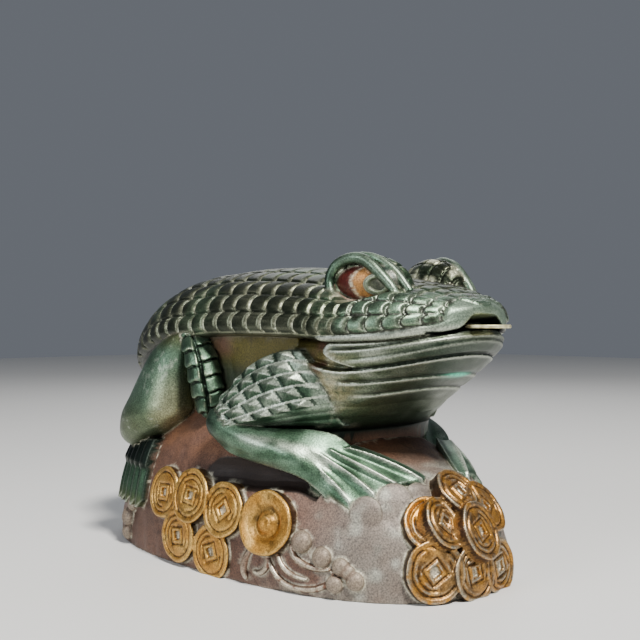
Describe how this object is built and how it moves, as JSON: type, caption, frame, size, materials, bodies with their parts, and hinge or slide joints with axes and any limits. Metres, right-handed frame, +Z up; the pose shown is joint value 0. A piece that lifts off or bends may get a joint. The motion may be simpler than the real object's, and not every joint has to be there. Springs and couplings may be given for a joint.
{
  "type": "carved frog figurine",
  "caption": "Carved and painted wooden frog crouching on a domed mound with relief coins and waves, holding a thin loose coin in its mouth.",
  "frame": {"origin": "centre of the flat underside of the mound", "axes": "+Z up, the frog faces -Y, +X is the frog's left side"},
  "size_m": [0.1736, 0.3074, 0.184],
  "materials": {
    "painted_wood": "dark green pearl paint over carved wood, with brown and gold paint on the mound",
    "coin_metal": "worn, pale"
  },
  "bodies": {
    "root": {"frog_carving": "painted_wood", "mouth_coin": "coin_metal"}
  },
  "joints": []
}
